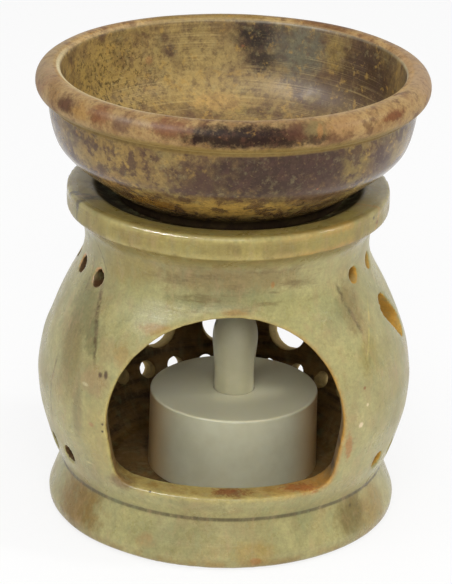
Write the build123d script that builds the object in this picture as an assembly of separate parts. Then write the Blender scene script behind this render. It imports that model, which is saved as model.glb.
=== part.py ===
# Essential oil burner: a turned and pierced soapstone stand, its lift-off bowl and a battery tealight.
# Millimetres, +Z up. The origin is the centre of the stand's underside, and the arch faces -Y.
from build123d import *
import math
import os

# Bowl
bowl_foot_radius = 25.6
bowl_foot_height = 2.2
bowl_floor = 4.0
bowl_wall = 4.0
bowl_side_radius = 40.1
bowl_side_height = 19.7
bowl_hollow_radius = 19.0
bead_radius = 3.4
bead_rise = 6.25
bead_inset = 0.5
bead_under_angle = -67.0
bead_inner_angle = 135.0
side_height_shares = (0.26, 0.49, 0.71)
side_reach_shares = (0.43, 0.76, 0.92)

# Stand: collar and neck, built out from the seat that the bowl's foot drops into
seat_clearance = 0.6
seat_ledge = 2.1
seat_depth = 2.3
seat_bevel = 4.1
collar_land = 5.3
collar_band = 4.4
collar_rise = 7.5
collar_edge = 0.9
collar_overhang = 4.05
neck_wall = 6.5

# Stand: foot, belly and chamber
floor_thickness = 8.5
well_clearance = 6.5
foot_wall = 13.9
foot_lip_height = 3.0
foot_lip_round = 1.3
groove_height = 10.9
groove_depth = 3.1
belly_reach = 16.4
belly_rise = 20.1
belly_wall = 6.0
shoulder_rise = 32.7
belly_height_share = 0.46
belly_reach_share = 0.65
shoulder_height_shares = (0.52, 0.765)
shoulder_reach_shares = (0.6, 0.22)
chamber_height_share = 0.36
chamber_reach_share = 0.68

# Stand: arch and drilled rows, with angles counted from the front
sill_rise = 8.5
arch_half_width = 25.4
arch_side_height = 14.0
arch_rise = 25.3
arch_crown_shift = 1.4
arch_draw_in = 1.6
arch_corner = 4.2
small_hole_radius = 2.0
shoulder_row_drop = 4.1
shoulder_row_skew = 1.15
shoulder_row_angles = (59.5, 300.0)
shoulder_hole_count = 15
foot_row_rise = 6.45
foot_row_slope = 18.0
foot_row_angles = (60.0, 300.0)
foot_hole_count = 20
slot_length = 13.4
slot_width = 5.7
slot_tilt_angle = -48.0
slot_row_rise = 16.8
slot_row_angles = (79.0, 259.0)
slot_count = 7
back_hole_radius = 4.7
back_row_drop = 3.8
back_row_slope = 14.0
back_row_angles = (129.0, 231.0)
back_hole_count = 5

# Tealight case and flame
case_radius = 19.0
case_height = 17.9
case_wall = 1.2
case_top = 1.2
case_edge_round = 0.5
case_draft = 0.25
case_rib_angles = (90.0, 210.0, 330.0)
case_rib_depth = 1.0
case_rib_width = 1.4
case_offset_share = 0.37
flame_base_radius = 4.5
flame_radius = 5.1
flame_height = 20.0
flame_wall = 0.9
flame_gap = 0.15
flame_flange_reach = 2.5
flame_flange = 1.0
flame_height_shares = (0.27, 0.45, 0.65, 0.86)
flame_reach_shares = (0.1, 0.57, 1.0)
flame_tip_share = 0.79

# Coin cell: 3.2 mm thick, and 20 mm across in the pocket that the case leaves for it
cell_height = 3.2
cell_skin = 0.25
cell_crimp_drop = 0.5
cell_gasket = 0.7
cell_gasket_foot = 0.25
cell_separator = 0.2
cell_lithium = 0.8
cell_core_gap = 0.3

# Base cover and twist-off hatch
base_recess = 0.6
base_thickness = 1.5
base_fit = 0.1
pocket_clearance = 0.3
pocket_wall = 1.0
pocket_roof = 1.0
hatch_clearance = 0.2
hatch_turn_angle = 30.0
lug_reach = 0.85
lug_width = 4.0
lug_thickness = 0.8
lug_clearance = 0.1
coin_slot_width = 1.8
coin_slot_length = 13.0
coin_slot_depth = 1.0

# Contacts, light-emitting diode and slide switch
contact_thickness = 0.3
contact_width = 1.4
contact_offset = 1.9
contact_spring = 0.8
contact_clearance = 0.1
dimple_radius = 1.2
led_radius = 2.5
led_flange_reach = 0.4
led_flange = 1.0
led_height = 8.6
lead_size = 0.5
lead_pitch = 2.54
lead_standoff = 0.5
lead_depth = 3.0
anvil_width = 1.3
anvil_height = 1.4
switch_travel = 2.5
switch_gap = 0.5
switch_edge = 1.35
switch_clearance = 0.3
switch_glide = 0.05
knob_length = 3.0
knob_width = 2.4
knob_recess = 0.3
flange_length = 6.6
flange_width = 3.8
flange_thickness = 1.0
bridge_length = 3.0
bridge_inset = 0.2

# Every cut runs this far past the faces that it opens
overrun = 2.0

# Radii of the stand, from the bowl's foot outwards and from the tealight outwards
mouth_radius = bowl_foot_radius - seat_ledge
seat_radius = bowl_foot_radius + seat_clearance
bevel_radius = seat_radius + seat_bevel
collar_radius = bevel_radius + collar_land
neck_radius = collar_radius - collar_overhang
neck_bore_radius = neck_radius - neck_wall
well_radius = case_radius + well_clearance
foot_radius = well_radius + foot_wall
groove_radius = foot_radius - groove_depth
belly_radius = well_radius + belly_reach
chamber_radius = belly_radius - belly_wall

# Heights of the stand, stacked from the table up
belly_height = groove_height + belly_rise
neck_height = belly_height + shoulder_rise
collar_height = neck_height + collar_rise
top_height = collar_height + collar_band
seat_height = top_height - seat_depth
sill_height = floor_thickness + sill_rise
arch_height = sill_height + arch_side_height

# Heights inside the tealight, stacked from the chamber floor up
base_top = base_recess + base_thickness
lug_bottom = base_top + lug_clearance
hatch_top = lug_bottom + lug_thickness
lug_groove_top = hatch_top + lug_clearance
cell_bottom = hatch_top + contact_clearance
cell_top = cell_bottom + cell_height
roof_bottom = cell_top + contact_spring
roof_top = roof_bottom + pocket_roof
strip_top = roof_top + contact_thickness
led_bottom = strip_top + lead_standoff
flange_bottom = base_top + switch_glide
bridge_bottom = flange_bottom + flange_thickness
leg_bottom = bridge_bottom + contact_thickness + contact_clearance

# Radii inside the tealight, from the case inwards to the coin cell
case_bore_radius = case_radius - case_wall
switch_radius = case_bore_radius - switch_edge - flange_width / 2
pocket_outer_radius = switch_radius - flange_width / 2 - switch_gap
lug_groove_radius = pocket_outer_radius - pocket_wall
lug_radius = lug_groove_radius - hatch_clearance
hatch_radius = lug_radius - lug_reach
pocket_radius = hatch_radius + hatch_clearance
cell_radius = pocket_radius - pocket_clearance
cell_cap_radius = cell_radius - cell_skin - cell_gasket
cell_core_radius = cell_cap_radius - cell_skin - cell_core_gap
flame_hole_radius = flame_base_radius + flame_gap
flame_flange_radius = flame_base_radius + flame_flange_reach

tealight_place = Pos(case_offset_share * well_clearance, 0, floor_thickness)


def between(low, high, share):
    return low + (high - low) * share


def turned(*edges):
    """Solid of revolution about Z, from a closed outline of (radius, height)."""
    return revolve(Plane.XZ * make_face(edges), Axis.Z)


def turned_outline(*points):
    return turned(Polyline(*points, close=True))


def block(low, high):
    """Box between two opposite corners."""
    sizes = [b - a for a, b in zip(low, high)]
    return Pos(*low) * Box(*sizes, align=Align.MIN)


def shoulder_curve(low_radius, high_radius):
    """Curve from the belly up to the neck, upright at both ends."""
    waypoints = [
        (between(high_radius, low_radius, reach), between(belly_height, neck_height, rise))
        for rise, reach in zip(shoulder_height_shares, shoulder_reach_shares)
    ]
    ends = (low_radius, belly_height), (high_radius, neck_height)
    return Spline(ends[0], *waypoints, ends[1], tangents=[(0, 1), (0, 1)])


def stand_outside():
    """The stand's solid outline: foot, groove, belly, shoulder, neck and collar."""
    foot_base = foot_radius - foot_lip_round
    foot_side = (foot_radius, foot_lip_height)
    groove = (groove_radius, groove_height)
    belly_way = (
        between(groove_radius, belly_radius, belly_reach_share),
        between(groove_height, belly_height, belly_height_share),
    )
    collar_under = (collar_radius - collar_edge, collar_height - collar_edge)
    collar_side = (collar_radius, collar_height)
    collar_top = (collar_radius, top_height - collar_edge)
    collar_rim = (collar_radius - collar_edge, top_height)
    return turned(
        Polyline((0, top_height), (0, 0), (foot_base, 0)),
        TangentArc(foot_side, (foot_base, 0), tangent=(0, -1)),
        Line(foot_side, groove),
        Spline(groove, belly_way, (belly_radius, belly_height), tangents=[(belly_reach_share, 1), (0, 1)]),
        shoulder_curve(belly_radius, neck_radius),
        Spline((neck_radius, neck_height), collar_under, tangents=[(0, 1), (1, 1)]),
        TangentArc(collar_side, collar_under, tangent=(0, -1)),
        Line(collar_side, collar_top),
        TangentArc(collar_top, collar_rim, tangent=(0, 1)),
        Line(collar_rim, (0, top_height)),
    )


def stand_hollow():
    """The chamber, the throat above it and the seat for the bowl's foot."""
    chamber_way = (
        between(well_radius, chamber_radius, chamber_reach_share),
        between(floor_thickness, belly_height, chamber_height_share),
    )
    well = (well_radius, floor_thickness)
    chamber_side = (chamber_radius, belly_height)
    throat = (neck_bore_radius, neck_height)
    above = top_height + overrun
    return turned(
        Line((0, floor_thickness), well),
        Spline(well, chamber_way, chamber_side, tangents=[(1, 1), (0, 1)]),
        shoulder_curve(chamber_radius, neck_bore_radius),
        Polyline(
            throat,
            (mouth_radius, seat_height),
            (seat_radius, seat_height),
            (bevel_radius, top_height),
            (bevel_radius, above),
            (0, above),
            (0, floor_thickness),
        ),
    )


def arch_cutter():
    """The arch seen from the front, run from the axis out past the belly. Its crown is a little right of the middle."""
    sill_end = arch_half_width - arch_draw_in
    corner_top = (sill_end, sill_height + arch_corner)
    corner_foot = (sill_end - arch_corner, sill_height)
    spring = (arch_half_width, arch_height)
    half = [
        Line((0, sill_height), corner_foot),
        TangentArc(corner_foot, corner_top, tangent=(1, 0)),
        TangentArc(spring, corner_top, tangent=(0, -1)),
    ]
    crown = (arch_crown_shift, arch_height)
    right = EllipticalCenterArc(crown, arch_half_width - arch_crown_shift, arch_rise, arc_size=90)
    left = EllipticalCenterArc(crown, arch_half_width + arch_crown_shift, arch_rise, 90, arc_size=90)
    outline = make_face(half + [edge.mirror(Plane.YZ) for edge in half] + [right, left])
    return extrude(Plane.XZ * outline, amount=belly_radius + overrun)


def drilled_row(outline, height, angles, count, slope=0.0, skew=0.0):
    """Cuts of one outline, spread evenly between two angles. They meet the outside at a height, fall outwards by a
    slope, and the row is higher on the right by a skew."""
    first, last = angles
    reach = belly_radius - mouth_radius
    cut = Rot(slope, 0, 0) * extrude(Plane.XZ * outline, amount=reach, both=True)
    angles = [first + (last - first) * index / (count - 1) for index in range(count)]
    return [
        Rot(0, 0, angle) * Pos(0, -belly_radius, height + skew * math.sin(math.radians(angle))) * cut for angle in angles
    ]


def burner_body():
    opened = stand_outside() - stand_hollow() - arch_cutter()
    small_hole = Circle(small_hole_radius)
    back_hole = Circle(back_hole_radius)
    slot = Rot(0, 0, slot_tilt_angle) * SlotOverall(slot_length, slot_width)
    drills = (
        drilled_row(
            small_hole, neck_height - shoulder_row_drop, shoulder_row_angles, shoulder_hole_count, skew=shoulder_row_skew
        )
        + drilled_row(slot, belly_height + slot_row_rise, slot_row_angles, slot_count)
        + drilled_row(back_hole, belly_height - back_row_drop, back_row_angles, back_hole_count, back_row_slope)
        + drilled_row(small_hole, groove_height + foot_row_rise, foot_row_angles, foot_hole_count, foot_row_slope)
    )
    return opened - drills


def bowl_side(low_radius, low_height, side_radius):
    """Curve of the bowl's side, from the foot or the floor up to the upright part under the lip."""
    side_top = seat_height + bowl_side_height
    waypoints = [
        (between(low_radius, side_radius, reach), between(low_height, side_top, rise))
        for rise, reach in zip(side_height_shares, side_reach_shares)
    ]
    return Spline((low_radius, low_height), *waypoints, (side_radius, side_top))


def oil_bowl():
    """Bowl in one turned outline, with the lip's round running from its under edge over to its inner edge."""
    foot_top = seat_height + bowl_foot_height
    floor = seat_height + bowl_floor
    side_top = seat_height + bowl_side_height
    bore_radius = bowl_side_radius - bowl_wall
    bead_centre = (bowl_side_radius - bead_inset, side_top + bead_rise)
    bead = CenterArc(bead_centre, bead_radius, bead_under_angle, bead_inner_angle - bead_under_angle)
    under_edge = bead @ 0
    inner_edge = bead @ 1
    return turned(
        Polyline((0, floor), (0, seat_height), (bowl_foot_radius, seat_height), (bowl_foot_radius, foot_top)),
        bowl_side(bowl_foot_radius, foot_top, bowl_side_radius),
        Polyline((bowl_side_radius, side_top), (bowl_side_radius, under_edge.Y), (under_edge.X, under_edge.Y)),
        bead,
        Line(inner_edge, (bore_radius, side_top)),
        bowl_side(bowl_hollow_radius, floor, bore_radius),
        Line((bowl_hollow_radius, floor), (0, floor)),
    )


def tealight_case():
    base_radius = case_radius + case_draft
    bore_top = case_height - case_top
    shoulder = (case_radius, case_height - case_edge_round)
    rim = (case_radius - case_edge_round, case_height)
    shell = turned(
        Polyline(
            rim,
            (flame_hole_radius, case_height),
            (flame_hole_radius, bore_top),
            (case_bore_radius, bore_top),
            (case_bore_radius, 0),
            (base_radius, 0),
            shoulder,
        ),
        TangentArc(shoulder, rim, tangent=(0, 1)),
    )
    rib_reach = case_rib_depth + case_wall / 2
    rib = block(
        (case_bore_radius - case_rib_depth, -case_rib_width / 2, base_top),
        (case_bore_radius - case_rib_depth + rib_reach, case_rib_width / 2, bore_top),
    )
    return shell + [Rot(0, 0, angle) * rib for angle in case_rib_angles]


def flame_curve(inset):
    """Flame outline from its base to its tip, drawn in by a wall thickness."""
    heights = [case_height + (flame_height - inset) * share for share in flame_height_shares]
    base = flame_base_radius - inset
    radii = [between(base, flame_radius - inset, share) for share in flame_reach_shares]
    radii.append((flame_radius - inset) * flame_tip_share)
    tip = (0, case_height + flame_height - inset)
    return Spline((base, case_height), *zip(radii, heights), tip, tangents=[(0, 1), (-1, 0)])


def flame_tip():
    flange_top = case_height - case_top
    bore = flame_base_radius - flame_wall
    return turned(
        flame_curve(0),
        Polyline(
            (flame_base_radius, case_height),
            (flame_base_radius, flange_top),
            (flame_flange_radius, flange_top),
            (flame_flange_radius, flange_top - flame_flange),
            (bore, flange_top - flame_flange),
            (bore, case_height),
        ),
        flame_curve(flame_wall),
        Line((0, case_height + flame_height - flame_wall), (0, case_height + flame_height)),
    )


def base_cover():
    plate_radius = case_bore_radius - base_fit
    cover = turned_outline(
        (pocket_radius, base_recess),
        (plate_radius, base_recess),
        (plate_radius, base_top),
        (pocket_outer_radius, base_top),
        (pocket_outer_radius, roof_top),
        (0, roof_top),
        (0, roof_bottom),
        (pocket_radius, roof_bottom),
        (pocket_radius, lug_groove_top),
        (lug_groove_radius, lug_groove_top),
        (lug_groove_radius, base_top),
        (pocket_radius, base_top),
    )
    notch_half = lug_width / 2 + hatch_clearance
    notch = block((-lug_groove_radius, -notch_half, 0), (lug_groove_radius, notch_half, base_top))
    notch = Rot(0, 0, hatch_turn_angle) * (notch & Cylinder(lug_groove_radius, 2 * base_top))
    positive_side = contact_width / 2 + contact_clearance
    positive_slot = block(
        (-positive_side, cell_radius, lug_groove_top),
        (positive_side, cell_radius + contact_thickness + 2 * contact_clearance, roof_top + overrun),
    )
    negative_slot = block(
        (contact_offset - positive_side, -pocket_outer_radius - overrun, roof_bottom - 2 * contact_thickness),
        (contact_offset + positive_side, 0, roof_bottom),
    )
    slot_half = (knob_length + switch_travel) / 2 + switch_clearance
    slot_side = knob_width / 2 + switch_clearance
    switch_slot = block(
        (-slot_half, -switch_radius - slot_side, base_recess - overrun),
        (slot_half, -switch_radius + slot_side, base_top + overrun),
    )
    return cover - notch - positive_slot - negative_slot - switch_slot


def battery_hatch():
    disc = Pos(0, 0, base_recess) * Cylinder(
        hatch_radius, hatch_top - base_recess, align=(Align.CENTER, Align.CENTER, Align.MIN)
    )
    bar = block((-lug_radius, -lug_width / 2, lug_bottom), (lug_radius, lug_width / 2, hatch_top))
    lugs = bar & Cylinder(lug_radius, 2 * hatch_top)
    coin_slot = block(
        (-coin_slot_length / 2, -coin_slot_width / 2, 0),
        (coin_slot_length / 2, coin_slot_width / 2, base_recess + coin_slot_depth),
    )
    return disc + lugs - coin_slot


def coin_cell():
    """The cell's pieces, from the can that faces the hatch up to the cap."""
    wall = cell_radius - cell_skin
    can_floor = cell_bottom + cell_skin
    crimp_top = cell_top - cell_crimp_drop
    crimp = crimp_top - cell_skin
    gasket_foot = can_floor + cell_gasket_foot
    cap_under = cell_top - cell_skin
    cap_bore = cell_cap_radius - cell_skin
    lithium_bottom = cap_under - cell_lithium
    separator_bottom = lithium_bottom - cell_separator
    crimp_bore = cell_cap_radius + cell_gasket / 2
    can = turned_outline(
        (0, cell_bottom), (cell_radius, cell_bottom), (cell_radius, crimp_top), (crimp_bore, crimp_top),
        (crimp_bore, crimp), (wall, crimp), (wall, can_floor), (0, can_floor),
    )
    gasket = turned_outline(
        (cell_core_radius, can_floor), (wall, can_floor), (wall, crimp), (crimp_bore, crimp),
        (crimp_bore, crimp_top), (cell_cap_radius, crimp_top), (cell_cap_radius, gasket_foot),
        (cell_core_radius, gasket_foot),
    )
    cap = turned_outline(
        (0, cap_under), (cap_bore, cap_under), (cap_bore, gasket_foot), (cell_cap_radius, gasket_foot),
        (cell_cap_radius, cell_top), (0, cell_top),
    )

    def disc(low, high):
        return turned_outline((0, low), (cell_core_radius, low), (cell_core_radius, high), (0, high))

    return {
        "coin_cell_can": can,
        "coin_cell_cathode": disc(can_floor, separator_bottom),
        "coin_cell_separator": disc(separator_bottom, lithium_bottom),
        "coin_cell_lithium": disc(lithium_bottom, cap_under),
        "coin_cell_gasket": gasket,
        "coin_cell_cap": cap,
    }


def positive_contact():
    """Strip that stands beside the can and runs over the pocket's roof to the anode lead."""
    half = contact_width / 2
    inner = cell_radius + contact_clearance
    outer = inner + contact_thickness
    leg = block((-half, inner, lug_groove_top + contact_clearance), (half, outer, strip_top))
    run = block((-half, lead_pitch / 2 - lead_size, roof_top), (half, outer, strip_top))
    return leg + run


def offset_strip(low, high, inner, outer, leg_end):
    """Strip beside the axis that runs out towards the switch, with a leg that comes down to it."""
    left = contact_offset - contact_width / 2
    right = contact_offset + contact_width / 2
    run = block((left, -outer, low), (right, -inner, high))
    leg = block((left, -outer, leg_end), (right, contact_thickness - outer, high))
    return run + leg


def negative_contact():
    high = roof_bottom
    low = high - contact_thickness
    right = contact_offset + contact_width / 2
    reach = switch_radius - flange_width / 2 + 2 * contact_thickness
    tab = block((-dimple_radius, -dimple_radius, low), (right, dimple_radius, high))
    dimple = Pos(0, 0, cell_top) * Cylinder(
        dimple_radius, low - cell_top, align=(Align.CENTER, Align.CENTER, Align.MIN)
    )
    return offset_strip(low, high, 0, reach, leg_bottom) + tab + dimple


def switch_contact():
    right = contact_offset + contact_width / 2
    reach = switch_radius + flange_width / 2 - 2 * contact_thickness
    lead = lead_pitch / 2
    tab = block((-contact_width / 2, -lead - lead_size, roof_top), (right, lead_size - lead, strip_top))
    return offset_strip(roof_top, strip_top, lead, reach, leg_bottom) + tab


def led_leads():
    """The anode's post and the cathode's post with its wider anvil, both standing in the dome."""
    half = lead_size / 2
    top = led_bottom + lead_depth
    post = block((-half, -half, strip_top), (half, half, top))
    anvil = block((-anvil_width / 2, -half, top - anvil_height), (anvil_width / 2, half, top))
    return {
        "led_anode_lead": Pos(0, lead_pitch / 2, 0) * post,
        "led_cathode_lead": Pos(0, -lead_pitch / 2, 0) * (post + anvil),
    }


def led_dome(leads):
    flange_radius = led_radius + led_flange_reach
    dome_base = led_bottom + led_height - led_radius
    shoulder = (led_radius, dome_base)
    crown = (0, led_bottom + led_height)
    dome = turned(
        Polyline(
            crown,
            (0, led_bottom),
            (flange_radius, led_bottom),
            (flange_radius, led_bottom + led_flange),
            (led_radius, led_bottom + led_flange),
            shoulder,
        ),
        TangentArc(shoulder, crown, tangent=(0, 1)),
    )
    return dome - list(leads.values())


def switch_pieces():
    """The knob with its flange, and the metal bridge that rides on it, at the off end of the slot."""
    place = Pos(-switch_travel / 2, -switch_radius, 0)
    knob = block(
        (-knob_length / 2, -knob_width / 2, knob_recess), (knob_length / 2, knob_width / 2, bridge_bottom)
    )
    flange = block(
        (-flange_length / 2, -flange_width / 2, flange_bottom), (flange_length / 2, flange_width / 2, bridge_bottom)
    )
    bridge_side = flange_width / 2 - bridge_inset
    bridge = block(
        (-bridge_length / 2, -bridge_side, bridge_bottom),
        (bridge_length / 2, bridge_side, bridge_bottom + contact_thickness),
    )
    return {"switch_knob": place * (knob + flange), "switch_bridge": place * bridge}


leads = led_leads()
tealight = {
    "tealight_case": tealight_case(),
    "flame_tip": flame_tip(),
    "base_cover": base_cover(),
    "battery_hatch": battery_hatch(),
    "positive_contact": positive_contact(),
    "negative_contact": negative_contact(),
    "switch_contact": switch_contact(),
    "led_dome": led_dome(leads),
    **leads,
    **coin_cell(),
    **switch_pieces(),
}
nodes = {"burner_body": burner_body(), "oil_bowl": oil_bowl()}
nodes.update({name: tealight_place * piece for name, piece in tealight.items()})

os.makedirs("parts", exist_ok=True)
for name, solid in nodes.items():
    export_step(solid, f"parts/{name}.step")
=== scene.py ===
# %% [markdown]
# # A soapstone oil burner
# The object is a small burner for scented oil: a turned and pierced soapstone stand, a loose bowl of
# darker soapstone on top of it, and a battery tealight that stands inside. This lesson dresses the
# measured model of that burner. The stone pieces are turned again as fine meshes with Geometry Nodes, and
# every surface gets a material built from noise, masks and a few listed patches. Sizes are in metres,
# and `MM` turns millimetres into them.

import math

import bmesh
import bpy
from mathutils import Euler, Matrix, Vector


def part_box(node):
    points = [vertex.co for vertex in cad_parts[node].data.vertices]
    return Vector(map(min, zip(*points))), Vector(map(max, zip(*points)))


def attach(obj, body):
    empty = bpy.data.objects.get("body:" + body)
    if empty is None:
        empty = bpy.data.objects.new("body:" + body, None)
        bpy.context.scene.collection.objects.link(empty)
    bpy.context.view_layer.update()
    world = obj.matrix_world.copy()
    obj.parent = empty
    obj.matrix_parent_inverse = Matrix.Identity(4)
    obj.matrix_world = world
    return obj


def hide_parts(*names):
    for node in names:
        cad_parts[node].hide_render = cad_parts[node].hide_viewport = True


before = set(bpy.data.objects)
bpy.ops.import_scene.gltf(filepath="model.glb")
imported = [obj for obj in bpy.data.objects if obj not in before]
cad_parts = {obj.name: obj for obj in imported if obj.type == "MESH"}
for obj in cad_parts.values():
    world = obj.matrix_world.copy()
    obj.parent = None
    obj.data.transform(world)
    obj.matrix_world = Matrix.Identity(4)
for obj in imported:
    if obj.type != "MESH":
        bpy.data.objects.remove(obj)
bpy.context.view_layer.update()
MM = 0.001
scene = bpy.context.scene
scene.view_settings.view_transform = "Standard"

# %% [markdown]
# ## The camera
# The picture was taken from a little above and a touch from the left, with a long lens, and the camera was
# not quite level. A long lens keeps the ellipses of the turned rims shallow and even. The place and the
# lens were found by laying the model's outlines over the picture, so here they are only written down.

# %% Camera
LENS = 170.3
CAMERA_PLACE = Vector((0.05, -575.0, 277.0)) * MM
LOOK_DOWN = math.radians(21.58)
LEAN = math.radians(1.5)
ASIDE = math.radians(-1.0)


def put(name, data):
    """A new object in the scene."""
    made = bpy.data.objects.new(name, data)
    scene.collection.objects.link(made)
    return made


camera = put("camera", bpy.data.cameras.new("camera"))
camera.data.lens = LENS
aside = Matrix.Rotation(ASIDE, 3, "Z")
camera.location = aside @ CAMERA_PLACE
level = Euler((math.pi / 2 - LOOK_DOWN, 0, 0)).to_matrix()
camera.rotation_euler = (aside @ level @ Matrix.Rotation(LEAN, 3, "Z")).to_euler()
scene.camera = camera
print("camera", round(CAMERA_PLACE.length, 3), "m from the foot of the burner")

# %% [markdown]
# ## Wiring nodes from a script
# Shader trees and Geometry Nodes trees are wired the same way: make a node, set its own properties, then
# give each input a value or link it to an earlier node. One small helper does all three for the tree at
# hand, and a few more stand for what comes up again and again: sums, vector sums, colour mixes and soft
# thresholds.

# %% Node helpers
SOCKETS = {float: "Float", int: "Int", tuple: "Vector"}
tree = None


def work_on(chosen):
    """Choose the tree that the helpers add to, and empty it."""
    global tree
    tree = chosen
    tree.nodes.clear()


def add(kind, inputs=None, **settings):
    """Add a node, a shader one unless its kind says so. Inputs hold a value, a socket or a node."""
    made = tree.nodes.new(kind if kind.startswith("GeometryNode") else "ShaderNode" + kind)
    for name, value in settings.items():
        setattr(made, name, value)
    for key, value in (inputs or {}).items():
        if isinstance(value, bpy.types.Node):
            value = value.outputs[0]
        if isinstance(value, bpy.types.NodeSocket):
            tree.links.new(value, made.inputs[key])
        else:
            made.inputs[key].default_value = value
    return made


def spaced(named):
    """Sockets by name, where a Python name has an underscore for a space."""
    return {key.replace("_", " "): value for key, value in named.items()}


def geo(kind, first, **named):
    """Add a Geometry Nodes node by its first input and others by name, and give its first output."""
    return add("GeometryNode" + kind, {0: first, **spaced(named)}).outputs[0]


def calc(operation, *values):
    return add("Math", dict(enumerate(values)), operation=operation).outputs[0]


def times(*values):
    result = values[0]
    for value in values[1:]:
        result = calc("MULTIPLY", result, value)
    return result


def minus(value, less):
    return calc("SUBTRACT", value, less)


def times_plus(value, factor, extra):
    return calc("MULTIPLY_ADD", value, factor, extra)


def vec(operation, *values):
    made = add("VectorMath", dict(enumerate(values)), operation=operation)
    return made.outputs["Value" if operation in ("LENGTH", "DOT_PRODUCT") else "Vector"]


def scaled(vector, factor):
    return add("VectorMath", {0: vector, "Scale": factor}, operation="SCALE").outputs[0]


def xyz(**sides):
    return add("CombineXYZ", sides).outputs[0]


def sides_of(vector):
    return add("SeparateXYZ", {0: vector}).outputs


def rise(value, low, high, to_low=0.0, to_high=1.0):
    """Rise softly from one value to another as the input goes from low to high."""
    ends = {"Value": value, "From Min": low, "From Max": high, "To Min": to_low, "To Max": to_high}
    return add("MapRange", ends, interpolation_type="SMOOTHSTEP").outputs["Result"]


def noise(place, size, seed=0.0, detail=4.0, rough=0.55):
    """Noise whose blobs are about `size` across, in the units of the place."""
    repeats = calc("DIVIDE", 1.0, size)
    inputs = {"Vector": place, "W": seed, "Scale": repeats, "Detail": detail, "Roughness": rough}
    return add("TexNoise", inputs, noise_dimensions="4D").outputs[0]


def tint(mask, under, over, how="MIX"):
    """Lay one colour over another where the mask is 1."""
    return add("Mix", {0: mask, 6: under, 7: over}, data_type="RGBA", blend_type=how).outputs[2]


def paint(red, green, blue):
    """A colour as a picture editor shows it, 0 to 255, as Blender's linear values."""
    shares = [channel / 255 for channel in (red, green, blue)]
    linear = [s / 12.92 if s <= 0.04045 else ((s + 0.055) / 1.055) ** 2.4 for s in shares]
    return (*linear, 1.0)


def new_group(name, kind, outputs, **inputs):
    """Start a node group. Each input names its kind of socket or has a default that tells it."""
    work_on(bpy.data.node_groups.new(name, kind + "NodeTree"))
    for label, default in spaced(inputs).items():
        socket = default if isinstance(default, str) else SOCKETS[type(default)]
        made = tree.interface.new_socket(label, in_out="INPUT", socket_type="NodeSocket" + socket)
        if socket != default:
            made.default_value = default
    for label, socket in outputs.items():
        tree.interface.new_socket(label, in_out="OUTPUT", socket_type="NodeSocket" + socket)
    return tree.nodes.new("NodeGroupInput").outputs, tree.nodes.new("NodeGroupOutput").inputs


def end_group(out, *results):
    """Link the results to the group's outputs and give the group."""
    for socket, result in zip(out, results):
        tree.links.new(result, socket)
    return tree


print("helpers ready")

# %% [markdown]
# ## Stage and light
# The burner stands on a white table in soft, even light. The world gives half of the light, and large
# lamps above and in front give the rest, so that some of it reaches in through the arch. Polished stone
# also mirrors the room: it is white behind the burner and dim in front, as it is behind a photographer,
# and this keeps the dark stone dark. A small lamp fills the right side, and a row of three that light no
# matt surface puts the glints on the collar's edge. The table is mostly its own white, so that it stays as
# white as paper, but a part of it is an ordinary lit surface, which keeps the burner's soft shadow.

# %% World and table
WORLD_LIGHT = 0.48
DIM_FRONT = 0.12
SHADOW_SHARE = 0.20
WHITE = (1.0, 1.0, 1.0, 1.0)
TABLE_RADIUS = 3.0
TABLE_SIDES = 96
TABLE_DROP = 0.1 * MM

scene.world = bpy.data.worlds.new("white_room")
scene.world.use_nodes = True
work_on(scene.world.node_tree)
ray = add("LightPath").outputs
towards = sides_of(add("TexCoord").outputs["Generated"])
mirrored = rise(towards["Y"], -0.1, 0.7, DIM_FRONT, 1.0)
strength = add("Mix", {0: ray["Is Glossy Ray"], 2: WORLD_LIGHT, 3: mirrored})
straight = calc("MAXIMUM", ray["Is Camera Ray"], ray["Is Transmission Ray"])
strength = add("Mix", {0: straight, 2: strength, 3: 1.0})
background = add("Background", {"Color": WHITE, "Strength": strength})
add("OutputWorld", {"Surface": background})

table_paint = bpy.data.materials.new("white_table")
table_paint.use_nodes = True
work_on(table_paint.node_tree)
lit = add("BsdfDiffuse", {"Color": paint(253, 253, 253)})
glow = add("Emission", {"Color": WHITE, "Strength": 1.0})
ray = add("LightPath").outputs
seen = calc("MAXIMUM", ray["Is Camera Ray"], ray["Is Glossy Ray"])
seen = calc("MAXIMUM", seen, ray["Is Transmission Ray"])
paper = add("MixShader", {0: times(seen, 1 - SHADOW_SHARE), 1: lit, 2: glow})
add("OutputMaterial", {"Surface": paper})

table_mesh = bpy.data.meshes.new("table")
shape = bmesh.new()
bmesh.ops.create_circle(shape, cap_ends=True, segments=TABLE_SIDES, radius=TABLE_RADIUS)
bmesh.ops.translate(shape, verts=shape.verts, vec=(0, 0, -TABLE_DROP))
shape.to_mesh(table_mesh)
shape.free()
table_mesh.materials.append(table_paint)
table = put("table", table_mesh)
print("table radius", TABLE_RADIUS, "m, world light", WORLD_LIGHT)


# %% Lamps
def softbox(name, place, width, height, power, lights_matt=True):
    """A lamp that faces the burner. One that doesn't light matt surfaces shows only as a glint."""
    lamp = bpy.data.lights.new(name, "AREA")
    lamp.shape = "RECTANGLE"
    lamp.size, lamp.size_y, lamp.energy = width, height, power
    made = put(name, lamp)
    made.location = place
    made.rotation_euler = (MIDDLE - Vector(place)).to_track_quat("-Z", "Y").to_euler()
    made.visible_diffuse = lights_matt


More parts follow.
